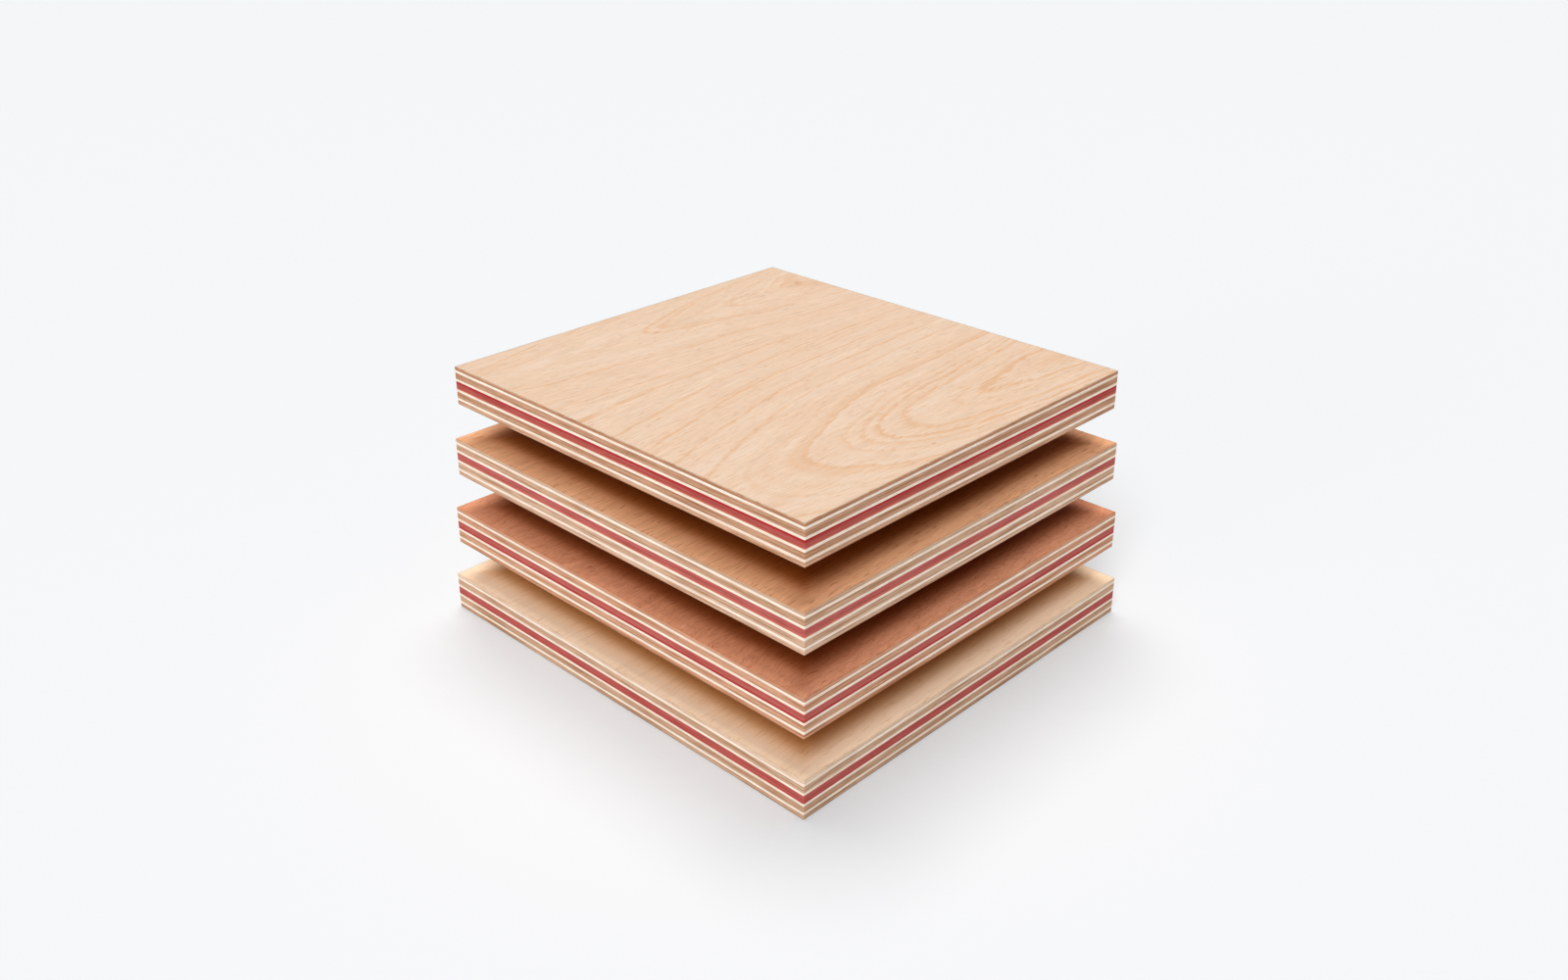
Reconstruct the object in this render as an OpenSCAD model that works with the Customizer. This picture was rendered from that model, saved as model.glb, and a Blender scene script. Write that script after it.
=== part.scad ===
// A stack of plywood sheets, each laid up from nine veneers, with wooden stickers between them.
// Millimetres, +Z up. The origin is the middle of the underside of the bottom sheet.
// X runs along the long side of a sheet, and Y along its short side.
// Sheet 1 is the bottom one. Every sheet lies a little inside the edges of the one below it.

/* [Sheets] */
// Length of the bottom sheet, along X
base_length = 226; // [180:1:400]
// Width of the bottom sheet, along Y
base_width = 213; // [170:1:400]
// How far a sheet lies inside the edge of the one below, on each of its four sides
edge_step = 2; // [0:0.5:4]

/* [Veneers] */
// Thickness of the show face, the topmost veneer of a sheet
face_t = 1.5; // [0.6:0.1:3]
// Thickness of each of the four pale crossbands
crossband_t = 1.2; // [0.6:0.1:3]
// Thickness of the two inner veneers, above and below the core
inner_t = 2.9; // [1:0.1:5]
// Thickness of the core veneer, in the middle of a sheet
core_t = 3.8; // [1:0.1:6]
// Thickness of the back, the lowest veneer of a sheet
back_t = 2.1; // [0.6:0.1:4]

/* [Stickers] */
// Clear height between two sheets, which is the thickness of a sticker
gap_h = 17; // [8:0.5:40]
// Width of a sticker
sticker_width = 22; // [10:1:30]
// Distance from the long edge of the top sheet in to the side of a sticker
sticker_setback = 34; // [20:1:40]
// Distance from the short edge of the top sheet in to the end of a sticker
sticker_end_setback = 40; // [20:1:60]
// Chamfer along the four long arrises of a sticker
sticker_chamfer = 1; // [0:0.25:2]

/* [Hidden] */
SHEETS = 4;

// The lay-up of a sheet, from its underside up: the name and the thickness of each veneer
LAYUP = [
    ["back", back_t],
    ["crossband_1", crossband_t],
    ["inner_lower", inner_t],
    ["crossband_2", crossband_t],
    ["core", core_t],
    ["crossband_3", crossband_t],
    ["inner_upper", inner_t],
    ["crossband_4", crossband_t],
    ["face", face_t],
];

// The two stickers in each gap: the end of the name, and the side of the middle it lies on along Y
SIDES = [["front", -1], ["rear", 1]];

// Show faces from the bottom sheet to the top one: birch, red-brown, golden and pale beech
FACE_COLOURS = ["#eaccb0", "#c88867", "#cf9b76", "#f5d8bf"];
CROSSBAND_COLOUR = "#f3dfcb";
INNER_COLOUR = "#d0a786";
CORE_COLOUR = "#bf6a62";
BACK_COLOUR = "#cda688";
STICKER_COLOUR = "#d9b58c";

// The thickness of the veneers below number `layer`, where 0 is the back
function below(layer) = layer == 0 ? 0 : LAYUP[layer - 1][1] + below(layer - 1);

sheet_t = below(len(LAYUP));
pitch = sheet_t + gap_h;
top_length = base_length - 2 * edge_step * (SHEETS - 1);
top_width = base_width - 2 * edge_step * (SHEETS - 1);
sticker_length = top_length - 2 * sticker_end_setback;
sticker_y = top_width / 2 - sticker_setback - sticker_width / 2;

function veneer_node(sheet, layer) = str("sheet_", sheet, "_", LAYUP[layer][0]);
function sticker_node(gap, side) = str("sticker_", gap, "_", side[0]);

// The blank of one veneer: the size of its own sheet, in its place in the lay-up
module veneer(sheet, layer) {
    inset = 2 * edge_step * (sheet - 1);
    length = base_length - inset;
    width = base_width - inset;
    translate([-length / 2, -width / 2, (sheet - 1) * pitch + below(layer)])
        cube([length, width, LAYUP[layer][1]]);
}

module face(sheet, layer) {
    color(FACE_COLOURS[sheet - 1]) veneer(sheet, layer);
}

module crossband(sheet, layer) {
    color(CROSSBAND_COLOUR) veneer(sheet, layer);
}

module inner(sheet, layer) {
    color(INNER_COLOUR) veneer(sheet, layer);
}

module core(sheet, layer) {
    color(CORE_COLOUR) veneer(sheet, layer);
}

module back(sheet, layer) {
    color(BACK_COLOUR) veneer(sheet, layer);
}

// Picks the module of a veneer by its place: odd places are crossbands, and the core is in the middle
module laid_up(sheet, layer) {
    last = len(LAYUP) - 1;
    if (layer == 0) back(sheet, layer);
    else if (layer == last) face(sheet, layer);
    else if (layer == last / 2) core(sheet, layer);
    else if (layer % 2 == 1) crossband(sheet, layer);
    else inner(sheet, layer);
}

// The sawn section of a sticker, upright, with its middle at the foot
module sticker_section() {
    half = sticker_width / 2;
    c = sticker_chamfer;
    polygon([
        [-half + c, 0],
        [half - c, 0],
        [half, c],
        [half, gap_h - c],
        [half - c, gap_h],
        [-half + c, gap_h],
        [-half, gap_h - c],
        [-half, c],
    ]);
}

// A sticker lies along X, across the grain of the show faces, and fills the height of its gap
module sticker(gap, side) {
    color(STICKER_COLOUR)
        translate([-sticker_length / 2, side[1] * sticker_y, (gap - 1) * pitch + sheet_t])
            rotate([90, 0, 90])
                linear_extrude(height = sticker_length)
                    sticker_section();
}

for (sheet = [1:SHEETS], layer = [0:len(LAYUP) - 1])
    laid_up(sheet, layer);

for (gap = [1:SHEETS - 1], side = SIDES)
    sticker(gap, side);
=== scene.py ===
"""A stack of four plywood sheets on wooden stickers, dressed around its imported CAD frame.

Every veneer is a closed mesh of its own: an outline carried up a profile, with rounded arrises
and the shallow relief that a saw leaves on the edge of the wood. The show faces carry a figure
worked out as a field over the sheet, whose level lines are the growth rings.
Lengths are in millimetres until a mesh is made, and the frame and Blender are in metres.
The scale of each pattern is one over its size in millimetres, so (1 / 24, 1 / 70, 0) is noise
that changes every 24 mm across the grain and every 70 mm along it.
"""

import logging
from dataclasses import dataclass, replace
from enum import Enum

import bpy
import numpy as np
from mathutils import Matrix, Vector


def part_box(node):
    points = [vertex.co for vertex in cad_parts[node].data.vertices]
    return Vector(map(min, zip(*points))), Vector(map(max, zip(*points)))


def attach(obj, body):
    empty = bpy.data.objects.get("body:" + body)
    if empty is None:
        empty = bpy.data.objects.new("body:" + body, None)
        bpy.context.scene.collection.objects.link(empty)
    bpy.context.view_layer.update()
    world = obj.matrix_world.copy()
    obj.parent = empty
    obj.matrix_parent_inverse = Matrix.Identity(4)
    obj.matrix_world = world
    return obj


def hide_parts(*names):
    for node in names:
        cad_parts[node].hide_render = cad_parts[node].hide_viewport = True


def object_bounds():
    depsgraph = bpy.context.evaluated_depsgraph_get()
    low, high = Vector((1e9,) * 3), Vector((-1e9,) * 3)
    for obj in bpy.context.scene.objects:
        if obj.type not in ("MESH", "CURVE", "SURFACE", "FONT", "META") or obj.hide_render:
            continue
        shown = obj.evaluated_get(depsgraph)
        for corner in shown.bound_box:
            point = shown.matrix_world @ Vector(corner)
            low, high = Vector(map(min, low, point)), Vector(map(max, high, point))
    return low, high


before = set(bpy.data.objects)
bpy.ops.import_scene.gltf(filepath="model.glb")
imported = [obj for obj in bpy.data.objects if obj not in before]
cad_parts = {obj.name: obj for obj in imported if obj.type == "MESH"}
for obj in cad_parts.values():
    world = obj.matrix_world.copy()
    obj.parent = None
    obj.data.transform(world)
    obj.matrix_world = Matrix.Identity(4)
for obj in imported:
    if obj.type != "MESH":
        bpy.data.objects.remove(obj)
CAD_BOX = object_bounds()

LOG = logging.getLogger("plywood")
MM = 0.001
SHEETS = 4
GAPS = SHEETS - 1
SHADE_START = 2.5  # mm in from the rim where the painted shade under the sheet above starts
SHADE_FADE = 16.0  # mm over which that painted shade grows to its full depth
MATT = 0.15  # how much of the usual gloss bare wood has
RAGGED = 0.4  # mm over which the edge of a stripe wanders
NEARLY_ZERO = 1e-9  # mm, which keeps a division from being by nothing
STEEP = 0.7  # a face whose normal rises more than this is part of the flat side
OPEN_ARRIS = 0.3  # mm, radius of an arris that has met the sandpaper
GLUED_ARRIS = 0.05  # mm, radius of an arris along a glue line

# The saw's marks are five sets of waves, from broad to fine
FEWEST_WAVES = (9, 23, 41, 77, 131)  # round the sheet
MOST_WAVES = (20, 40, 70, 120, 200)  # one more than there can be
MOST_CLIMBS = np.array([1.0, 2.0, 4.0, 7.0, 9.0])  # waves up the edge, either way
WAVE_SHARES = np.array([0.30, 0.25, 0.2, 0.15, 0.1])  # of the depth


class Layer(Enum):
    """A veneer's place in a sheet, from the underside up, as its node is named."""

    BACK = "back"
    CROSSBAND_1 = "crossband_1"
    INNER_LOWER = "inner_lower"
    CROSSBAND_2 = "crossband_2"
    CORE = "core"
    CROSSBAND_3 = "crossband_3"
    INNER_UPPER = "inner_upper"
    CROSSBAND_4 = "crossband_4"
    FACE = "face"


class Cap(Enum):
    """How the flat side of a veneer is filled: glued and hidden, or open to view."""

    HIDDEN = "hidden"
    SHOWN = "shown"


def linear(colour: str) -> tuple[float, float, float, float]:
    """Turns an sRGB hex colour into Blender's linear RGBA.

    Args:
        colour: six hex digits after a hash sign.

    Returns:
        Red, green, blue and an alpha of 1.
    """
    srgb = np.array([int(colour[i : i + 2], 16) for i in (1, 3, 5)]) / 255.0
    rgb = np.where(srgb <= 0.04045, srgb / 12.92, ((srgb + 0.055) / 1.055) ** 2.4)
    return (*rgb.tolist(), 1.0)


def add(
    tree: bpy.types.NodeTree, kind: str, inputs: dict | list | None = None, **settings: object
) -> bpy.types.Node:
    """Adds one node to a tree, with its settings, its constants and its links.

    Args:
        tree: the material's node tree.
        kind: the node's type, without the ShaderNode that every one begins with.
        inputs: values by socket name, or in the order of the sockets in use. A node stands for
            its first output in use, a socket for itself, and a hex colour for its linear RGBA.
        settings: the node's own properties.

    Returns:
        The new node.
    """
    node = tree.nodes.new("ShaderNode" + kind)
    for name, value in settings.items():
        setattr(node, name, value)
    if isinstance(inputs, dict):
        pairs = [(node.inputs[name], value) for name, value in inputs.items()]
    else:
        pairs = list(zip([socket for socket in node.inputs if socket.enabled], inputs or []))
    for socket, value in pairs:
        if isinstance(value, bpy.types.Node):
            value = next(output for output in value.outputs if output.enabled)
        if isinstance(value, bpy.types.NodeSocket):
            tree.links.new(value, socket)
        else:
            socket.default_value = linear(value) if isinstance(value, str) else value
    return node


def new_material(name: str) -> tuple[bpy.types.Material, bpy.types.NodeTree, bpy.types.Node]:
    """Starts a material that is measured in mm.

    Args:
        name: the finish's name.

    Returns:
        The material, its empty tree and a node that gives the object's own place in mm.
    """
    material = bpy.data.materials.new(name)
    material.use_nodes = True
    tree = material.node_tree
    tree.nodes.clear()
    place = add(tree, "TexCoord").outputs["Object"]
    return material, tree, add(tree, "VectorMath", {0: place, "Scale": 1.0 / MM}, operation="SCALE")


def bare_wood(
    tree: bpy.types.NodeTree,
    colour: bpy.types.Node,
    roughness: float,
    height: bpy.types.Node,
    strength: float,
    depth: float,
) -> None:
    """Ends a material as bare wood, which scatters light and hardly mirrors anything.

    Args:
        tree: the material's tree.
        colour: the wood's colour.
        roughness: of the surface.
        height: where the surface stands proud.
        strength: of the relief, from 0 to 1.
        depth: of the relief, in mm.
    """
    bump = add(tree, "Bump", {"Height": height, "Strength": strength, "Distance": depth * MM})
    surface = {"Roughness": roughness, "Specular IOR Level": MATT, "Normal": bump}
    shader = add(tree, "BsdfPrincipled", {"Base Color": colour, **surface})
    add(tree, "OutputMaterial", {"Surface": shader})


def smooth_step(value: np.ndarray) -> np.ndarray:
    """Eases a value in from 0 and out to 1, and holds it there on either side."""
    step = np.clip(value, 0.0, 1.0)
    return step * step * (3.0 - 2.0 * step)


# ---------------------------------------------------------------- finishes


@dataclass(frozen=True)
class FaceFinish:
    """A sanded, unfinished show face of sliced or peeled veneer.

    Attributes:
        name: the wood and how it was worked.
        light: colour of the early wood.
        dark: colour of the broad darker bands.
        ring: colour of the late wood, the thin lines of the figure.
        pore: colour of the open pores.
        gap_shade_colour: painted shade, the colour that multiplies the wood where the sheet above
            shades it.
        ring_pitch: distance between growth rings across the figure, in mm.
        wander: how far the rings wander, in mm.
        fray: how far their lines are torn along the fibre, in mm.
        first_ring: number of the ring at level 0, from which the others take their weights.
        ring_depth: how far a full line goes towards the ring colour.
        fibre_depth: how strongly the fine fibre lightens and darkens the wood.
        pore_length: length of a pore along the grain, in mm.
        pore_share: 0 to 1, how much of the wood has open pores.
        pore_depth: how far a pore goes towards its colour.
        wrinkle_depth: how far a crinkle in the fibre goes towards the pore colour.
        curl: sideways wander of the fibre, in mm.
        roughness: of the sanded surface.
    """

    name: str
    light: str
    dark: str
    ring: str
    pore: str
    # painted shade under the sheet above; white paints none
    gap_shade_colour: str = "#ffffff"
    ring_pitch: float = 3.4
    wander: float = 6.0
    fray: float = 2.6
    first_ring: float = 0.0
    ring_depth: float = 0.6
    fibre_depth: float = 0.08
    pore_length: float = 2.0
    pore_share: float = 0.4
    pore_depth: float = 0.5
    wrinkle_depth: float = 0.0
    curl: float = 0.4
    roughness: float = 0.6

    def grain(self, tree: bpy.types.NodeTree, mm: bpy.types.Node) -> bpy.types.Node:
        """Works out the place on the wood as its fibre runs.

        Across comes from the mesh's "grain" attribute, and wanders by the curl.

        Args:
            tree: the material's tree.
            mm: the place, in mm.

        Returns:
            The place across the fibre and along it, in mm.
        """
        across = add(tree, "Attribute", attribute_name="grain").outputs["Fac"]
        along = add(tree, "SeparateXYZ", [mm]).outputs["Y"]
        sway = add(tree, "Mapping", {"Vector": mm, "Scale": (1 / 7, 1 / 11, 0)})
        swayed = add(tree, "TexNoise", {"Vector": sway, "Scale": 1.0, "Detail": 2.0})
        aside = add(tree, "MapRange", [swayed, 0.25, 0.75, -self.curl, self.curl])
        moved = add(tree, "Math", [across, aside], operation="ADD")
        return add(tree, "CombineXYZ", [moved, along, 0.0])

    def rings(
        self, tree: bpy.types.NodeTree, mm: bpy.types.Node, grain: bpy.types.Node
    ) -> tuple[bpy.types.Node, bpy.types.Node]:
        """Draws the growth rings, the level lines of the mesh's "figure" attribute.

        The level, made to wander and torn along the fibre, is divided by the ring pitch and
        stretched unevenly by noise. Its fraction is a saw-tooth, of which a power darkens
        slowly and ends soon, as early wood runs into late wood, and each ring has a weight.

        Args:
            tree: the material's tree.
            mm: the place, in mm.
            grain: the place as the fibre runs.

        Returns:
            How much of a ring's line and how much of the shade between two lines there is.
        """
        level = add(tree, "Attribute", attribute_name="figure").outputs["Fac"]
        broad = add(tree, "Mapping", {"Vector": mm, "Scale": (1 / 24, 1 / 70, 0)})
        wander = add(tree, "TexNoise", {"Vector": broad, "Scale": 1.0, "Detail": 3.0})
        torn = add(tree, "Mapping", {"Vector": grain, "Scale": (1 / 1.1, 1 / 13, 0)})
        tears = add(tree, "TexNoise", {"Vector": torn, "Scale": 1.0, "Detail": 2.0})
        moved = add(tree, "Math", [wander, self.wander, level], operation="MULTIPLY_ADD")
        frayed = add(tree, "Math", [tears, self.fray, moved], operation="MULTIPLY_ADD")
        paced = add(tree, "Math", [frayed, self.ring_pitch], operation="DIVIDE")
        rings = add(tree, "Math", [paced, self.first_ring], operation="ADD")
        uneven = add(
            tree, "TexNoise", {"W": rings, "Scale": 0.4, "Detail": 1.0}, noise_dimensions="1D"
        )
        count = add(tree, "Math", [uneven, 2.4, rings], operation="MULTIPLY_ADD")
        phase = add(tree, "Math", [count], operation="FRACT")
        index = add(tree, "Math", [count], operation="FLOOR")
        chance = add(tree, "TexWhiteNoise", {"W": index}, noise_dimensions="1D")
        weight = add(tree, "Math", [chance, 1.4], operation="POWER")
        late = add(tree, "Math", [phase, 3.5], operation="POWER")
        end = add(tree, "MapRange", [phase, 0.75, 1.0, 1.0, 0.0], interpolation_type="SMOOTHSTEP")
        line = add(tree, "Math", [late, end], operation="MULTIPLY")
        weighed = add(tree, "Math", [line, weight], operation="MULTIPLY")
        share = add(
            tree, "Math", [weighed, 3.4 * self.ring_depth], operation="MULTIPLY", use_clamp=True
        )
        shade = add(tree, "Math", [phase, weight], operation="MULTIPLY")
        fine = add(
            tree, "TexNoise", {"W": frayed, "Scale": 0.8, "Detail": 2.0}, noise_dimensions="1D"
        )
        veins = add(tree, "MapRange", [fine, 0.45, 0.7, 0.0, 0.45])
        return share, add(tree, "Math", [shade, 0.5, veins], operation="MULTIPLY_ADD")

    def figured(
        self, tree: bpy.types.NodeTree, mm: bpy.types.Node, grain: bpy.types.Node
    ) -> bpy.types.Node:
        """Colours the wood by its rings and by broad bands along the grain.

        Args:
            tree: the material's tree.
            mm: the place, in mm.
            grain: the place as the fibre runs.

        Returns:
            The colour.
        """
        line, shade = self.rings(tree, mm, grain)
        band = add(tree, "Mapping", {"Vector": grain, "Scale": (1 / 11, 1 / 80, 0)})
        bands = add(tree, "TexNoise", {"Vector": band, "Scale": 1.0, "Detail": 3.0})
        broad = add(tree, "MapRange", [bands, 0.35, 0.7, 0.0, 0.4])
        tone = add(
            tree, "Math", [shade, self.ring_depth, broad], operation="MULTIPLY_ADD", use_clamp=True
        )
        wood = add(tree, "Mix", [tone, self.light, self.dark], data_type="RGBA")
        return add(tree, "Mix", [line, wood, self.ring], data_type="RGBA")

    def fibre(self, tree: bpy.types.NodeTree, grain: bpy.types.Node) -> bpy.types.Node:
        """Draws the fibre: streaks 0.75 mm wide and 22 mm long.

        Real fibre is much finer, and is drawn this coarse so that it shows.

        Args:
            tree: the material's tree.
            grain: the place as the fibre runs.

        Returns:
            Noise that is high where the fibre is light and proud.
        """
        fine = add(tree, "Mapping", {"Vector": grain, "Scale": (1 / 0.75, 1 / 22, 0)})
        return add(tree, "TexNoise", {"Vector": fine, "Scale": 1.0, "Detail": 3.0, "Roughness": 0.7})

    def crinkles(self, tree: bpy.types.NodeTree, grain: bpy.types.Node) -> bpy.types.Node:
        """Draws the thin bends of curly wood, where slow noise crosses its middle value.

        Args:
            tree: the material's tree.
            grain: the place as the fibre runs.

        Returns:
            How much of a crinkle there is.
        """
        bend = add(tree, "Mapping", {"Vector": grain, "Scale": (1 / 2.6, 1 / 9, 0)})
        bends = add(tree, "TexNoise", {"Vector": bend, "Scale": 1.0, "Detail": 2.0})
        off = add(tree, "Math", [bends, 0.5], operation="SUBTRACT")
        far = add(tree, "Math", [off], operation="ABSOLUTE")
        return add(tree, "MapRange", [far, 0.0, 0.035, self.wrinkle_depth, 0.0])

    def pores(self, tree: bpy.types.NodeTree, grain: bpy.types.Node) -> bpy.types.Node:
        """Draws the open pores: dashes 0.45 mm wide, where noise is higher than a limit.

        Real ones are about 0.1 mm wide, and are drawn this coarse so that they show.

        Args:
            tree: the material's tree.
            grain: the place as the fibre runs.

        Returns:
            How much of a pore there is.
        """
        dash = add(tree, "Mapping", {"Vector": grain, "Scale": (1 / 0.45, 1 / self.pore_length, 0)})
        dashes = add(tree, "TexNoise", {"Vector": dash, "Scale": 0.6, "Detail": 1.0})
        least = 0.76 - 0.2 * self.pore_share
        return add(tree, "MapRange", [dashes, least, least + 0.08, 0.0, self.pore_depth])

    def material(self) -> bpy.types.Material:
        """Builds the face's material, from the figure down to the pores.

        Where the sheet above shades the gap, the wood is darkened by painted shade. Sanding leaves
        the fibre a little proud of the pores, which the bump says.

        Returns:
            The material.
        """
        material, tree, mm = new_material(self.name)
        grain = self.grain(tree, mm)
        fibre = self.fibre(tree, grain)
        pore = self.pores(tree, grain)
        streak = add(
            tree, "MapRange", [fibre, 0.3, 0.7, 1.0 - self.fibre_depth, 1.0 + self.fibre_depth]
        )
        figured = self.figured(tree, mm, grain)
        fibred = add(tree, "VectorMath", {0: figured, "Scale": streak}, operation="SCALE")
        crinkled = add(
            tree, "Mix", [self.crinkles(tree, grain), fibred, self.pore], data_type="RGBA"
        )
        pored = add(tree, "Mix", [pore, crinkled, self.pore], data_type="RGBA")
        # Painted shade: the wood is multiplied darker where the sheet above casts its shadow into the
        # gap
        gap_shade = add(tree, "Attribute", attribute_name="gap_shade").outputs["Fac"]
        gap_shaded = add(tree, "Mix", [gap_shade, pored, self.gap_shade_colour], data_type="RGBA", blend_type="MULTIPLY")
        height = add(tree, "Math", [pore, -0.6, fibre], operation="MULTIPLY_ADD")
        bare_wood(tree, gap_shaded, self.roughness, height, strength=0.3, depth=0.05)
        return material


@dataclass(frozen=True)
class Stripe:
    """A stripe of another colour along one side of a veneer's edge.

    Attributes:
        colour: sRGB hex.
        width: in mm.
        share: how strongly it shows.
        fade: how far it takes to go out, in mm.
    """

    colour: str = "#ffffff"
    width: float = 0.5
    share: float = 0.0
    fade: float = 0.3


NO_STRIPE = Stripe()  # it has no share, so it doesn't show


@dataclass(frozen=True)
class EdgeFinish:
    """The sawn edge of a veneer, where its fibre shows as lines along the sheet.

    Attributes:
        name: the wood and how it was worked.
        base: colour of most of the edge.
        line: what the fine dark lines multiply it by.
        upper: stripe next to the veneer above.
        lower: stripe next to the veneer below.
        line_pitch: distance between the fine lines, in mm.
        line_depth: how far a full line goes towards its colour.
        speck_depth: how dark the small open pores are.
        roughness: of the sawn edge.
    """

    name: str
    base: str
    line: str = "#cbb097"
    upper: Stripe = NO_STRIPE
    lower: Stripe = NO_STRIPE
    line_pitch: float = 0.75
    line_depth: float = 0.8
    speck_depth: float = 0.25
    roughness: float = 0.72

    def material(self, low: float, high: float) -> bpy.types.Material:
        """Builds the edge's material for a veneer that lies between two heights.

        The lines are noise drawn out along the sheet and packed close in height. The stripes
        are a step in the height, which the same noise makes ragged.

        Args:
            low: height of the veneer's underside, in mm.
            high: height of its top, in mm.

        Returns:
            The material.
        """
        material, tree, mm = new_material(self.name)
        height = add(tree, "SeparateXYZ", [mm]).outputs["Z"]
        along = add(tree, "Mapping", {"Vector": mm, "Scale": (1 / 34, 1 / 34, 1 / self.line_pitch)})
        lines = add(
            tree, "TexNoise", {"Vector": along, "Scale": 1.0, "Detail": 2.0, "Roughness": 0.6}
        )
        line = add(tree, "MapRange", [lines, 0.47, 0.6, 0.0, self.line_depth])
        colour = add(tree, "Mix", [line, self.base, self.line], data_type="RGBA", blend_type="MULTIPLY")

        wave = add(tree, "Mapping", {"Vector": mm, "Scale": (1 / 5, 1 / 5, 0)})
        waves = add(tree, "TexNoise", {"Vector": wave, "Scale": 1.0, "Detail": 3.0})
        ragged = add(tree, "Math", [waves, RAGGED, height], operation="MULTIPLY_ADD")
        for stripe, side, into in ((self.upper, high, -1.0), (self.lower, low, 1.0)):
            stops = side + RAGGED / 2 + into * stripe.width
            share = add(
                tree, "MapRange", [ragged, stops, stops + into * stripe.fade, stripe.share, 0.0]
            )
            colour = add(tree, "Mix", [share, colour, stripe.colour], data_type="RGBA")

        # Clouds along the sheet, strands of fibre, and small open pores
        cloud = add(tree, "Mapping", {"Vector": mm, "Scale": (1 / 9, 1 / 9, 1 / 3)})
        clouds = add(tree, "TexNoise", {"Vector": cloud, "Scale": 1.0, "Detail": 3.0})
        shade = add(tree, "MapRange", [clouds, 0.3, 0.7, 0.94, 1.06])
        strand = add(tree, "Mapping", {"Vector": mm, "Scale": (1 / 3.5, 1 / 3.5, 1 / 0.35)})
        strands = add(tree, "TexNoise", {"Vector": strand, "Scale": 1.0, "Detail": 2.0})
        mottle = add(tree, "MapRange", [strands, 0.3, 0.7, 0.92, 1.08])
        pore = add(tree, "Mapping", {"Vector": mm, "Scale": (1 / 1.1, 1 / 1.1, 1 / 0.45)})
        pores = add(tree, "TexNoise", {"Vector": pore, "Scale": 1.0, "Detail": 1.0})
        speck = add(tree, "MapRange", [pores, 0.64, 0.74, 1.0, 1.0 - self.speck_depth])
        both = add(tree, "Math", [shade, speck], operation="MULTIPLY")
        all_three = add(tree, "Math", [both, mottle], operation="MULTIPLY")
        shaded = add(tree, "VectorMath", {0: colour, "Scale": all_three}, operation="SCALE")
        bare_wood(tree, shaded, self.roughness, lines, strength=0.3, depth=0.08)
        return material


@dataclass(frozen=True)
class SawnFinish:
    """A strip of softwood as it comes off the saw, with its rings running right through it.

    Attributes:
        name: the wood and how it was worked.
        light: colour of the early wood.
        dark: colour of the late wood.
        ring_pitch: distance between growth rings, in mm.
        kerf_pitch: distance between the saw's marks along the strip, in mm.
        roughness: of the sawn surface.
    """

    name: str
    light: str
    dark: str
    ring_pitch: float = 2.4
    kerf_pitch: float = 2.8
    roughness: float = 0.85

    def material(self, heart: tuple[float, float]) -> bpy.types.Material:
        """Builds the material of a strip that lies along X.

        The level is the distance from the tree's heart line, which wanders along the strip, so
        long faces get lines and the ends get arcs of the same rings.

        Args:
            heart: Y and Z of the heart line, in mm.

        Returns:
            The material.
        """
        material, tree, mm = new_material(self.name)
        moved = (0, -heart[0], -heart[1])
        about = add(tree, "Mapping", {"Vector": mm, "Location": moved, "Scale": (0, 1, 1)})
        reach = add(tree, "VectorMath", [about], operation="LENGTH").outputs["Value"]
        drift = add(tree, "Mapping", {"Vector": mm, "Scale": (1 / 60, 1 / 18, 1 / 18)})
        drifts = add(tree, "TexNoise", {"Vector": drift, "Scale": 1.0, "Detail": 3.0})
        level = add(tree, "Math", [drifts, 8.0, reach], operation="MULTIPLY_ADD")
        rings = add(tree, "Math", [level, self.ring_pitch], operation="DIVIDE")
        phase = add(tree, "Math", [rings], operation="FRACT")
        late = add(tree, "Math", [phase, 3.0], operation="POWER")
        wood = add(tree, "Mix", [late, self.light, self.dark], data_type="RGBA")
        fibre = add(tree, "Mapping", {"Vector": mm, "Scale": (1 / 9, 1 / 0.7, 1 / 0.7)})
        fibres = add(tree, "TexNoise", {"Vector": fibre, "Scale": 1.0, "Detail": 3.0})
        streak = add(tree, "MapRange", [fibres, 0.3, 0.7, 0.88, 1.1])
        shaded = add(tree, "VectorMath", {0: wood, "Scale": streak}, operation="SCALE")
        kerf = add(tree, "Mapping", {"Vector": mm, "Scale": (1 / self.kerf_pitch, 1 / 40, 1 / 40)})
        kerfs = add(tree, "TexNoise", {"Vector": kerf, "Scale": 1.0, "Detail": 1.0})
        rough = add(tree, "Math", [kerfs, fibres], operation="ADD")
        bare_wood(tree, shaded, self.roughness, rough, strength=0.6, depth=0.15)
        return material


# ---------------------------------------------------------------- figure


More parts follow.
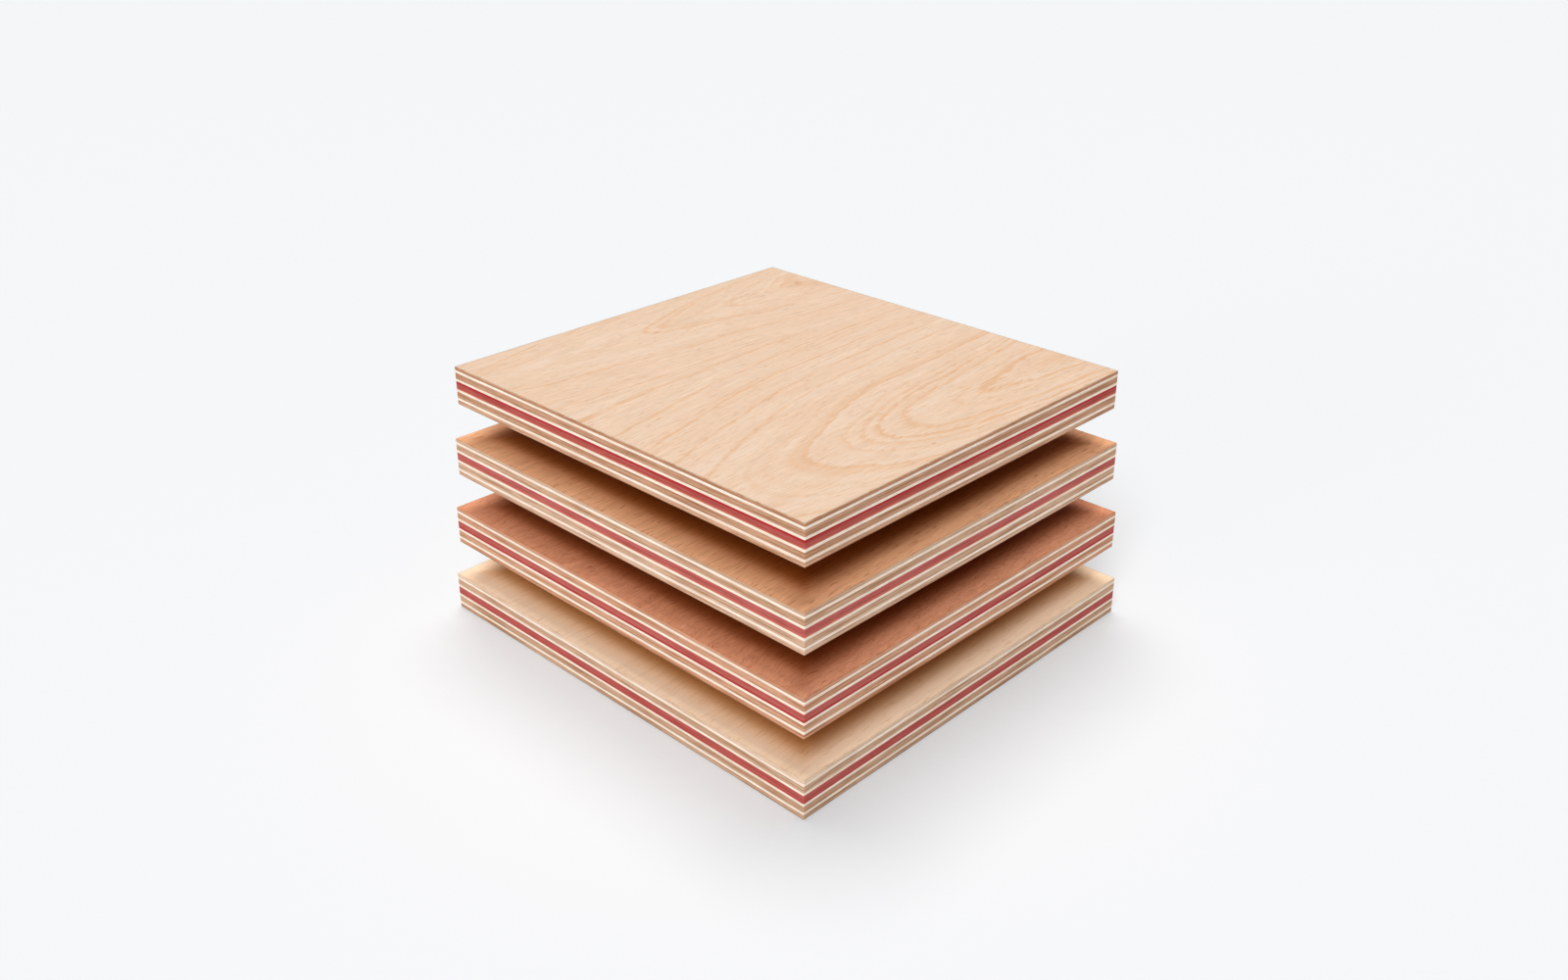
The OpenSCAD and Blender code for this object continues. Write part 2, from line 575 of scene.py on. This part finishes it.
@dataclass(frozen=True)
class Cathedral:
    """One set of nested arches, which open towards +Y.

    Attributes:
        middle: X of the arches' line, in mm.
        blunt: radius of the round tips, in mm.
        steep: how far the arches widen for each mm along the grain, up to the bend.
        bend: Y where the arms turn nearly parallel, in mm.
        turn: length over which they do, in mm.
        drift: how far they widen for each mm beyond it.
        reach: distance across the grain over which the arches turn into straight grain, in mm.
    """

    middle: float
    blunt: float
    steep: float
    bend: float
    turn: float
    drift: float
    reach: float

    def rise(self, x: np.ndarray, y: np.ndarray) -> np.ndarray:
        """How much wider the arches have grown at y.

        A slope that eases off round the bend, times a bell curve over the distance across.

        Args:
            x: distances across the grain, in mm.
            y: distances along it, in mm.

        Returns:
            The widening, in mm.
        """
        eased = self.turn * np.logaddexp(0.0, -(y - self.bend) / self.turn)
        slope = self.drift * y - (self.steep - self.drift) * eased
        return slope * np.exp(-(((x - self.middle) / self.reach) ** 2))

    def distance(self, x: np.ndarray, y: np.ndarray) -> np.ndarray:
        """The hyperbola's distance from the middle line, less the widening."""
        return np.hypot(x - self.middle, self.blunt) - self.rise(x, y)

    def lean(self, x: np.ndarray, y: np.ndarray) -> np.ndarray:
        """How far an arm has moved aside: the widening, to the left or the right of the middle."""
        aside = (x - self.middle) / np.hypot(x - self.middle, self.blunt)
        return -self.rise(x, y) * aside


@dataclass(frozen=True)
class Figure:
    """The field whose level lines are a show face's growth rings.

    Attributes:
        left: the arches on the -X side.
        right: the arches on the +X side.
        seam: X where one gives way to the other, in mm.
        blend: half the width over which it does, in mm.
        follow: how much of the arms' lean the fibre takes.
    """

    left: Cathedral
    right: Cathedral
    seam: float = -28.0
    blend: float = 22.0
    follow: float = 0.6

    def share(self, x: np.ndarray) -> np.ndarray:
        """A smooth step over the seam, from 0 at the left arches to 1 at the right ones."""
        return smooth_step((x - self.seam) / (2 * self.blend) + 0.5)

    def levels(self, x: np.ndarray, y: np.ndarray) -> np.ndarray:
        """Joins the two sets of arches into one field that grows from left to right.

        Left of the seam the level is the distance from the left arches. Right of it, it is the
        seam's own level plus what is still to go to the right arches. A smooth step joins them.

        Args:
            x: distances across the grain, in mm.
            y: distances along it, in mm.

        Returns:
            The level at each point, in mm.
        """
        share = self.share(x)
        seam = np.hypot(self.seam - self.left.middle, self.left.blunt) + np.hypot(
            self.seam - self.right.middle, self.right.blunt
        )
        near = self.left.distance(x, y)
        far = self.right.distance(x, y)
        return (1.0 - share) * near + share * (seam - far)

    def grain(self, x: np.ndarray, y: np.ndarray) -> np.ndarray:
        """The place across the fibre, which leans part of the way with the arms.

        Args:
            x: distances across the sheet, in mm.
            y: distances along it, in mm.

        Returns:
            X, less what the fibre has moved aside, in mm.
        """
        share = self.share(x)
        lean = (1.0 - share) * self.left.lean(x, y) + share * self.right.lean(x, y)
        return x + self.follow * lean


# ---------------------------------------------------------------- meshes


@dataclass(frozen=True)
class Slab:
    """A flat rectangular piece with rounded corners and arrises.

    Attributes:
        low: the lowest corner, in mm.
        high: the highest corner, in mm.
        corner: radius of the upright corners, in mm.
        top_arris: radius of the arris round the top, in mm.
        foot_arris: radius of the arris round the underside, in mm.
        pitch: distance between points along an edge, in mm.
        rows: number of steps up the edge.
        relief: depth of the saw's marks on the edge, in mm.
        seed: of the marks.
    """

    low: np.ndarray
    high: np.ndarray
    corner: float = 0.5
    top_arris: float = 0.08
    foot_arris: float = 0.08
    pitch: float = 2.0
    rows: int = 8
    relief: float = 0.05
    seed: int = 0

    def stations(self, low: float, high: float) -> np.ndarray:
        """Grid lines from one side to the other, with three close ones in each corner.

        Args:
            low: one side, in mm.
            high: the other side, in mm.

        Returns:
            The places of the grid lines, in mm.
        """
        inner = np.linspace(
            low + self.corner, high - self.corner, int(round((high - low) / self.pitch)) + 1
        )
        steps = self.corner * np.array([0.0, 0.4, 0.75])
        return np.concatenate([low + steps, inner, (high - steps)[::-1]])

    def plan(self) -> tuple[np.ndarray, np.ndarray]:
        """The slab's plan as a grid, with its four corners drawn in to quarter circles.

        In a corner's square a point at (a, b) from the corner's centre, each 0 to 1, moves to
        the same direction at a distance of the larger of the two.

        Returns:
            The grid's X and Y, in mm.
        """
        x, y = np.meshgrid(
            self.stations(self.low[0], self.high[0]),
            self.stations(self.low[1], self.high[1]),
            indexing="ij",
        )
        middle = (self.low + self.high) / 2
        half = (self.high - self.low) / 2
        a = np.abs(x - middle[0]) - (half[0] - self.corner)
        b = np.abs(y - middle[1]) - (half[1] - self.corner)
        inside = (a > 0) & (b > 0)
        a, b = np.maximum(a, NEARLY_ZERO), np.maximum(b, NEARLY_ZERO)
        shrink = np.where(inside, np.maximum(a, b) / np.hypot(a, b), 1.0)
        x = np.where(inside, x + np.sign(x - middle[0]) * a * (shrink - 1.0), x)
        y = np.where(inside, y + np.sign(y - middle[1]) * b * (shrink - 1.0), y)
        return x, y

    @staticmethod
    def rim(shape: tuple[int, int]) -> np.ndarray:
        """The grid's outer points, anticlockwise from above.

        Args:
            shape: the grid's number of points along X and along Y.

        Returns:
            Their places in the flattened grid.
        """
        index = np.arange(shape[0] * shape[1]).reshape(shape)
        return np.concatenate(
            [index[:-1, 0], index[-1, :-1], index[:0:-1, -1], index[0, :0:-1]]
        )

    def marks(self, along: np.ndarray, up: np.ndarray) -> np.ndarray:
        """The depth of the saw's marks: a few waves that close on themselves round the sheet.

        Args:
            along: 0 to 1 round the outline.
            up: 0 to 1 up the edge.

        Returns:
            The depth at each point, from 0 to the relief, in mm.
        """
        rng = np.random.default_rng(self.seed)
        turns = rng.integers(FEWEST_WAVES, MOST_WAVES)
        climbs = rng.uniform(-1.0, 1.0, len(MOST_CLIMBS)) * MOST_CLIMBS
        starts = rng.uniform(0.0, 2.0 * np.pi, len(WAVE_SHARES))
        waves = np.sin(
            2.0 * np.pi * (turns * along[..., None] + climbs * up[..., None]) + starts
        )
        return self.relief * (0.5 + 0.5 * (waves * WAVE_SHARES).sum(-1))

    def profile(self) -> tuple[np.ndarray, np.ndarray]:
        """The edge's section from foot to top: a quarter round, a straight and a quarter round.

        Returns:
            The height of each row and how far it lies inside the outline, in mm.
        """
        turn = np.linspace(0.0, np.pi / 2, 4)
        foot_h = self.foot_arris * (1.0 - np.cos(turn))
        foot_in = self.foot_arris * (1.0 - np.sin(turn))
        top_h = self.top_arris * (1.0 - np.cos(turn))[::-1]
        top_in = self.top_arris * (1.0 - np.sin(turn))[::-1]
        straight = np.linspace(
            self.low[2] + self.foot_arris, self.high[2] - self.top_arris, self.rows + 1
        )[1:-1]
        heights = np.concatenate([self.low[2] + foot_h, straight, self.high[2] - top_h])
        insets = np.concatenate([foot_in, 0.0 * straight, top_in])
        return heights, insets

    def wall(self, outline: np.ndarray) -> tuple[np.ndarray, np.ndarray]:
        """Carries the outline up the profile, drawn in by the section and by the saw's marks.

        Args:
            outline: X and Y of the points round the slab, in mm.

        Returns:
            The points in mm, row by row from the foot, and the four-sided faces between rows.
        """
        count = len(outline)
        ahead = np.roll(outline, -1, axis=0) - np.roll(outline, 1, axis=0)
        outward = np.stack([ahead[:, 1], -ahead[:, 0]], axis=1)
        outward /= np.linalg.norm(outward, axis=1, keepdims=True)
        steps = np.linalg.norm(np.roll(outline, -1, axis=0) - outline, axis=1)
        along = np.concatenate([[0.0], np.cumsum(steps)[:-1]]) / steps.sum()
        heights, insets = self.profile()
        up = (heights - self.low[2]) / (self.high[2] - self.low[2])
        depth = self.marks(*np.broadcast_arrays(along[None, :], up[:, None])) + insets[:, None]
        ring = outline[None] - depth[..., None] * outward[None]
        level = np.broadcast_to(heights[:, None, None], (len(heights), count, 1))
        here = np.arange(len(heights) - 1)[:, None] * count + np.arange(count)[None]
        beside = np.roll(here, -1, axis=1)
        quads = np.stack([here, beside, beside + count, here + count], -1).reshape(-1, 4)
        return np.concatenate([ring, level], axis=2).reshape(-1, 3), quads

    @staticmethod
    def cells(inner: np.ndarray, rim: np.ndarray, edge: np.ndarray, start: int) -> np.ndarray:
        """Joins the points of a flat side's grid into four-sided faces.

        Args:
            inner: which of the grid's points aren't on its rim.
            rim: places of the rim's points in the flattened grid.
            edge: numbers of the rim's points in the mesh.
            start: number of the first inner point in the mesh.

        Returns:
            The faces, anticlockwise from above.
        """
        number = np.empty(inner.size, int)
        number[rim] = edge
        number[inner.ravel()] = start + np.arange(inner.sum())
        number = number.reshape(inner.shape)
        around = [number[:-1, :-1], number[1:, :-1], number[1:, 1:], number[:-1, 1:]]
        return np.stack(around, -1).reshape(-1, 4)

    def shell(self, top: Cap, foot: Cap) -> tuple[np.ndarray, np.ndarray, np.ndarray]:
        """Works out the closed mesh: the wall, and a grid or a fan to fill each flat side.

        Args:
            top: how the top is filled.
            foot: how the underside is filled.

        Returns:
            The points in mm, the four-sided faces and the three-sided faces.
        """
        x, y = self.plan()
        rim = self.rim(x.shape)
        inner = np.ones(x.shape, bool)
        inner.ravel()[rim] = False
        wall, sides = self.wall(np.stack([x.ravel()[rim], y.ravel()[rim]], axis=1))
        points, quads, tris = [wall], [sides], [np.empty((0, 3), int)]
        first_row = np.arange(len(rim))
        last_row = first_row + len(wall) - len(rim)
        for cap, height, edge, turn in (
            (foot, self.low[2], first_row, -1),
            (top, self.high[2], last_row, 1),
        ):
            start = sum(len(p) for p in points)
            if cap is Cap.HIDDEN:
                middle = (self.low + self.high) / 2
                points.append(np.array([[middle[0], middle[1], height]]))
                hub = np.full(len(edge), start)
                tris.append(np.stack([hub, edge, np.roll(edge, -1)], -1)[:, ::turn])
            else:
                points.append(np.stack([x[inner], y[inner], np.full(inner.sum(), height)], -1))
                quads.append(self.cells(inner, rim, edge, start)[:, ::turn])
        return np.concatenate(points), np.concatenate(quads), np.concatenate(tris)


def mesh_object(
    name: str, points: np.ndarray, quads: np.ndarray, tris: np.ndarray
) -> bpy.types.Object:
    """Makes an object at the origin from points in mm and its four- and three-sided faces.

    Args:
        name: the object's name.
        points: one row of X, Y and Z for each point, in mm.
        quads: four-sided faces.
        tris: three-sided faces.

    Returns:
        The object, linked into the scene and smooth.
    """
    mesh = bpy.data.meshes.new(name)
    sizes = np.concatenate([np.full(len(quads), 4), np.full(len(tris), 3)]).astype(np.int32)
    corners = np.concatenate([quads.ravel(), tris.ravel()]).astype(np.int32)
    mesh.vertices.add(len(points))
    mesh.vertices.foreach_set("co", (points * MM).astype(np.float32).ravel())
    mesh.loops.add(len(corners))
    mesh.loops.foreach_set("vertex_index", corners)
    mesh.polygons.add(len(sizes))
    mesh.polygons.foreach_set("loop_start", (np.cumsum(sizes) - sizes).astype(np.int32))
    mesh.update(calc_edges=True)
    mesh.validate()
    mesh.shade_smooth()
    thing = bpy.data.objects.new(name, mesh)
    bpy.context.scene.collection.objects.link(thing)
    return thing


def box_mm(node: str) -> tuple[np.ndarray, np.ndarray]:
    """The lowest and highest corners of a CAD node, in mm.

    Args:
        node: the node's name.

    Returns:
        Both corners.
    """
    low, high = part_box(node)
    return np.array(low) / MM, np.array(high) / MM


# ---------------------------------------------------------------- the stack

BEECH_FIGURE = Figure(
    left=Cathedral(-79.5, blunt=14.0, steep=0.14, bend=10.0, turn=15.0, drift=0.22, reach=52.0),
    right=Cathedral(78.0, blunt=25.0, steep=0.28, bend=2.0, turn=8.0, drift=0.07, reach=95.0),
)
STRAIGHT_FIGURE = Figure(
    left=Cathedral(-150.0, blunt=30.0, steep=0.1, bend=0.0, turn=40.0, drift=0.05, reach=120.0),
    right=Cathedral(160.0, blunt=30.0, steep=0.12, bend=10.0, turn=30.0, drift=0.03, reach=120.0),
)
CURLY_FIGURE = Figure(
    left=Cathedral(-60.0, blunt=24.0, steep=0.2, bend=-10.0, turn=25.0, drift=0.05, reach=60.0),
    right=Cathedral(120.0, blunt=30.0, steep=0.25, bend=0.0, turn=30.0, drift=0.05, reach=80.0),
)


@dataclass
class Sheet:
    """One plywood sheet: nine veneers, from the back up to the show face.

    Attributes:
        number: 1 for the bottom sheet.
        face: finish of the show face.
        back: finish of the underside.
        edges: finish of each veneer's sawn edge.
        figure: the show face's growth rings.
    """

    number: int
    face: FaceFinish
    back: FaceFinish
    edges: dict[Layer, EdgeFinish]
    figure: Figure

    def gap_shade(self, points: np.ndarray, low: np.ndarray, high: np.ndarray) -> np.ndarray:
        """Painted shade: how far the wood is darkened where the sheet above shades it.

        A smooth step from the rim inwards, which is nothing at all on the top sheet.

        Args:
            points: the veneer's points, in mm.
            low: the veneer's lowest corner, in mm.
            high: its highest corner, in mm.

        Returns:
            0 at the rim, where no shade is painted, to 1 where the painted shade is full.
        """
        if self.number == SHEETS:
            return np.zeros(len(points))
        inside = np.minimum(points[:, :2] - low[:2], high[:2] - points[:, :2]).min(axis=1)
        return smooth_step((inside - SHADE_START) / SHADE_FADE)

    def dress_flat(
        self,
        mesh: bpy.types.Mesh,
        finish: FaceFinish,
        points: np.ndarray,
        box: tuple[np.ndarray, np.ndarray],
    ) -> None:
        """Gives a face or a back its figure, its grain, its mask of painted shade and its second
        finish.

        Args:
            mesh: the veneer's mesh, whose first material is its edge's.
            finish: the flat side's finish.
            points: the mesh's points, in mm.
            box: the veneer's lowest and highest corners, in mm.
        """
        x, y = points[:, 0], points[:, 1]
        fields = {
            "figure": self.figure.levels(x, y),
            "grain": self.figure.grain(x, y),
            "gap_shade": self.gap_shade(points, *box),
        }
        for name, values in fields.items():
            mesh.attributes.new(name, "FLOAT", "POINT").data.foreach_set(
                "value", values.astype(np.float32)
            )
        mesh.materials.append(finish.material())
        normals = np.empty(3 * len(mesh.polygons), np.float32)
        mesh.polygons.foreach_get("normal", normals)
        flat = np.abs(normals.reshape(-1, 3)[:, 2]) > STEEP
        mesh.polygons.foreach_set("material_index", flat.astype(np.int32))

    def veneer(self, layer: Layer) -> None:
        """Builds, dresses and hangs one veneer.

        Args:
            layer: its place in the sheet.
        """
        node = f"sheet_{self.number}_{layer.value}"
        low, high = box_mm(node)
        face, back = layer is Layer.FACE, layer is Layer.BACK
        slab = Slab(
            low,
            high,
            top_arris=OPEN_ARRIS if face else GLUED_ARRIS,
            foot_arris=OPEN_ARRIS if back else GLUED_ARRIS,
            seed=100 * self.number + list(Layer).index(layer),
        )
        points, quads, tris = slab.shell(
            top=Cap.SHOWN if face else Cap.HIDDEN, foot=Cap.SHOWN if back else Cap.HIDDEN
        )
        piece = mesh_object(f"{node}_veneer", points, quads, tris)
        piece.data.materials.append(self.edges[layer].material(low[2], high[2]))
        if face or back:
            self.dress_flat(piece.data, self.face if face else self.back, points, (low, high))
        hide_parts(node)
        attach(piece, "root")
        LOG.info("%s: %d faces", piece.name, len(piece.data.polygons))

    def build(self) -> None:
        """Builds the sheet's nine veneers."""
        for layer in Layer:
            self.veneer(layer)


@dataclass(frozen=True)
class Stickers:
    """The sawn strips that hold the sheets apart.

    Attributes:
        finish: the wood, as sawn.
        aside: how much further to one side the heart line lies in each gap, in mm.
        depth: how far below a strip's middle it lies, in mm.
        deeper: how much further below in each gap, in mm.
    """

    finish: SawnFinish
    aside: float = 9.0
    depth: float = 14.0
    deeper: float = 5.0

    def build(self) -> None:
        """Dresses the six CAD strips, each as if cut from another place in the log."""
        for gap in range(1, GAPS + 1):
            for side, turn in (("front", 1.0), ("rear", -1.0)):
                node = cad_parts[f"sticker_{gap}_{side}"]
                low, high = box_mm(node.name)
                middle = (low + high) / 2
                heart = (
                    middle[1] + turn * self.aside * gap,
                    middle[2] - self.depth - self.deeper * gap,
                )
                material = self.finish.material(heart)
                for slot in node.material_slots:
                    slot.material = material
                LOG.info("%s dressed", node.name)


# Sliced beech: pale and pink, its rings a little darker, with countless short fine pores
BEECH = FaceFinish(
    "pale beech face, sanded", "#cbb6a3", "#c6a487", "#c39973", "#a9764b",
    ring_pitch=3.2, first_ring=31.0, ring_depth=0.55, fibre_depth=0.11,
    pore_length=4.0, pore_share=0.75, pore_depth=0.3,
)
# Stained poplar: an even golden brown with short dark strokes along the grain
# Its last colour is painted shade for the wood under the sheet above
GOLDEN = FaceFinish(
    "golden-brown face, sanded", "#dca67e", "#c98f68", "#b87c54", "#95572f", "#b08344",
    ring_depth=0.2, fibre_depth=0.14, pore_length=4.5, pore_share=0.8, pore_depth=0.45, curl=0.8,
)
# Curly makore: red-brown, its fibre wrinkled where the tree grew in waves
RED_BROWN = FaceFinish(
    # Its last colour is painted shade for the wood under the sheet above
    "red-brown face, sanded", "#d39371", "#bd7957", "#a8603f", "#873f24", "#b48a59",
    ring_depth=0.2, fibre_depth=0.13, pore_length=4.0, pore_share=0.7, pore_depth=0.35,
    wrinkle_depth=0.25, curl=1.6,
)
# Rotary-cut birch: cream, almost without figure, with faint orange dashes
BIRCH = FaceFinish(
    # Its last colour is painted shade for the wood under the sheet above
    "pale birch face, sanded", "#ecd0b5", "#e2c3a3", "#d9b088", "#cf9866", "#e1b988",
    ring_depth=0.15, fibre_depth=0.06, pore_length=6.0, pore_share=0.6, pore_depth=0.55, curl=0.8,
)
# Plain brown backs, sanded only roughly
PLAIN_BACK = FaceFinish(
    "brown back veneer, sanded", "#d0a785", "#bd9070", "#ab7c5a", "#9a6c4c",
    ring_depth=0.4, fibre_depth=0.1, pore_length=3.0,
)

# Poplar crossbands, cut across their fibre: cream, dense and almost without lines
CREAM = EdgeFinish("poplar crossband, sawn", "#f6e6d6", "#ead6c2", line_depth=0.5, speck_depth=0.08)
# Inner veneers: tan, with a few fine dark lines of late wood
TAN = EdgeFinish("tan inner veneer, sawn", "#c49778")
# Dyed core: dull red, with a stripe of stronger dye where the glue line drew it in
RED = EdgeFinish(
    "red core, sawn", "#b4554e", "#dba8a0", line_depth=0.6,
    upper=Stripe("#ab2a2b", 0.9, 1.0, 0.15), lower=Stripe("#d07a58", 0.35, 0.7, 0.5),
)
# Backs: brown, with small dark breaks along the lower arris
BROWN = EdgeFinish(
    "brown back, sawn", "#cfa385", lower=Stripe("#a97a58", 0.15, 0.7, 0.4),
)
# Face edges: the thin line under each show face
DARK_EDGE = EdgeFinish("dark face edge, sawn", "#b98868", line_depth=0.5)

TOP_EDGES = (BROWN, CREAM, TAN, CREAM, RED, CREAM, TAN, CREAM, DARK_EDGE)
SECOND_EDGES = (
    replace(BROWN, base="#d6b096"), CREAM, replace(TAN, base="#d0ac90"), CREAM,
    replace(RED, base="#bb605a", upper=NO_STRIPE), CREAM, replace(TAN, base="#cca587"), CREAM,
    EdgeFinish("greyish face edge, sawn", "#cdac91", line_depth=0.5),
)
THIRD_EDGES = (
    replace(BROWN, base="#cc9574"), CREAM, replace(TAN, base="#cf9f80"), CREAM,
    replace(RED, base="#bb5f57", upper=NO_STRIPE, lower=Stripe("#ad3130", 0.9, 1.0, 0.15)),
    CREAM, replace(TAN, base="#cf9d7e"), CREAM,
    EdgeFinish("red-brown face edge, sawn", "#cb9778", line_depth=0.5),
)
BOTTOM_EDGES = (
    replace(BROWN, base="#c8a487"), CREAM, replace(TAN, base="#c6a083"), CREAM,
    replace(RED, base="#b75952", upper=NO_STRIPE, lower=Stripe("#b4423d", 0.7, 0.8, 0.2)),
    CREAM, replace(TAN, base="#cda98d"), CREAM,
    EdgeFinish("pale face edge, sawn", "#e0c3a9", line_depth=0.4),
)
# Rough-sawn pine: yellowish, furred by the saw, its rings arcs at the ends and lines along the sides
STICKER = SawnFinish("pine sticker, rough-sawn", "#dfc096", "#bf935f")


def direction(azimuth: float, elevation: float) -> Vector:
    """The way from the stack to something at an azimuth and an elevation.

    Args:
        azimuth: in degrees from -Y towards +X.
        elevation: in degrees above the floor.

    Returns:
        A vector of length 1.
    """
    turn, rise = np.radians([azimuth, elevation])
    return Vector((np.sin(turn) * np.cos(rise), -np.cos(turn) * np.cos(rise), np.sin(rise)))


@dataclass(frozen=True)
class Softbox:
    """A soft light so far off that it lights the floor evenly.

    Attributes:
        name: the light's name.
        azimuth: where it hangs, in degrees from -Y towards +X.
        elevation: its height above the floor, in degrees.
        spread: its width as seen from the stack, in degrees.
        strength: in watts for each square metre.
        colour: sRGB hex.
    """

    name: str
    azimuth: float
    elevation: float
    spread: float
    strength: float
    colour: str = "#ffffff"

    def build(self) -> None:
        """Hangs the light."""
        lamp = bpy.data.lights.new(self.name, "SUN")
        lamp.angle = np.radians(self.spread)
        lamp.energy = self.strength
        lamp.color = linear(self.colour)[:3]
        holder = bpy.data.objects.new(self.name, lamp)
        away = direction(self.azimuth, self.elevation)
        holder.rotation_euler = (-away).to_track_quat("-Z", "Y").to_euler()
        bpy.context.scene.collection.objects.link(holder)


# One behind the stack, which draws the soft shadow at its foot, one in front of it for the faces
# and the edges on the right, and a faint low one for the edges on the left
SOFTBOXES = (
    Softbox("back", 232.0, 74.0, 38.0, 2.5, "#fff9f3"),
    Softbox("key", 33.0, 46.0, 30.0, 2.7),
    Softbox("side", -4.0, 12.0, 20.0, 0.3),
)


@dataclass(frozen=True)
class Studio:
    """The pale floor, the soft lights and the camera.

    Attributes:
        azimuth: the camera's, in degrees from -Y towards +X.
        elevation: the camera's, in degrees above the floor.
        distance: from the camera to its aim, in mm.
        aim: the point that it looks at, in mm.
        lens: focal length, in mm on a film of the width below.
        film: width of the film, in mm.
        drop: how far the lens is shifted down, as a share of the film's width.
        floor_half: half the floor's width, in metres.
        ambient: strength of the even light from all round.
        backdrop: brightness of what shows beyond the floor.
    """

    azimuth: float = 44.16
    elevation: float = 24.91
    distance: float = 657.7
    aim: tuple[float, float, float] = (-0.2, -0.6, 83.1)
    lens: float = 33.3225
    film: float = 36.0
    drop: float = 0.025
    floor_half: float = 8.0
    ambient: float = 0.1
    backdrop: float = 0.93

    def floor(self) -> None:
        """Lays a wide pale floor at the foot of the stack."""
        half, foot = self.floor_half, CAD_BOX[0][2]
        mesh = bpy.data.meshes.new("floor")
        mesh.from_pydata(
            [(-half, -half, foot), (half, -half, foot), (half, half, foot), (-half, half, foot)],
            [],
            [(0, 1, 2, 3)],
        )
        ground = bpy.data.objects.new("floor", mesh)
        bpy.context.scene.collection.objects.link(ground)
        # Matt white paint: near-white, with hardly any sheen to mirror the edges
        material = bpy.data.materials.new("matt white floor")
        material.use_nodes = True
        tree = material.node_tree
        tree.nodes.clear()
        paint = {"Base Color": "#cdd1d5", "Roughness": 0.9, "Specular IOR Level": 0.1}
        add(tree, "OutputMaterial", {"Surface": add(tree, "BsdfPrincipled", paint)})
        mesh.materials.append(material)

    def lights(self) -> None:
        """Sets the world and hangs the softboxes."""
        scene = bpy.context.scene
        scene.view_settings.view_transform = "Standard"
        scene.world = bpy.data.worlds.new("studio")
        scene.world.use_nodes = True
        tree = scene.world.node_tree
        sky = tree.nodes["Background"]
        sky.inputs["Color"].default_value = linear("#ffffff")
        seen = add(tree, "LightPath").outputs["Is Camera Ray"]
        strength = add(tree, "MapRange", [seen, 0.0, 1.0, self.ambient, self.backdrop])
        tree.links.new(strength.outputs[0], sky.inputs["Strength"])
        for softbox in SOFTBOXES:
            softbox.build()

    def camera(self) -> None:
        """Puts the camera at its azimuth, elevation and distance from the aim."""
        scene = bpy.context.scene
        lens = bpy.data.cameras.new("camera")
        lens.sensor_width = self.film
        lens.lens = self.lens
        lens.shift_y = -self.drop
        lens.clip_start = 0.01
        holder = bpy.data.objects.new("camera", lens)
        scene.collection.objects.link(holder)
        away = direction(self.azimuth, self.elevation)
        holder.location = (Vector(self.aim) + away * self.distance) * MM
        holder.rotation_euler = (-away).to_track_quat("-Z", "Y").to_euler()
        scene.camera = holder

    def build(self) -> None:
        """Builds the whole studio."""
        self.floor()
        self.lights()
        self.camera()


def main() -> None:
    """Builds the studio, the sheets and the stickers, and reports each."""
    logging.basicConfig(level=logging.INFO, format="%(name)s: %(message)s")
    Studio().build()
    # From the bottom sheet to the top one
    faces = (BIRCH, RED_BROWN, GOLDEN, BEECH)
    edges = (BOTTOM_EDGES, THIRD_EDGES, SECOND_EDGES, TOP_EDGES)
    figures = (STRAIGHT_FIGURE, CURLY_FIGURE, STRAIGHT_FIGURE, BEECH_FIGURE)
    for number, face, edge, figure in zip(range(1, SHEETS + 1), faces, edges, figures):
        Sheet(number, face, PLAIN_BACK, dict(zip(Layer, edge)), figure).build()
    Stickers(STICKER).build()


if __name__ == "__main__":
    main()
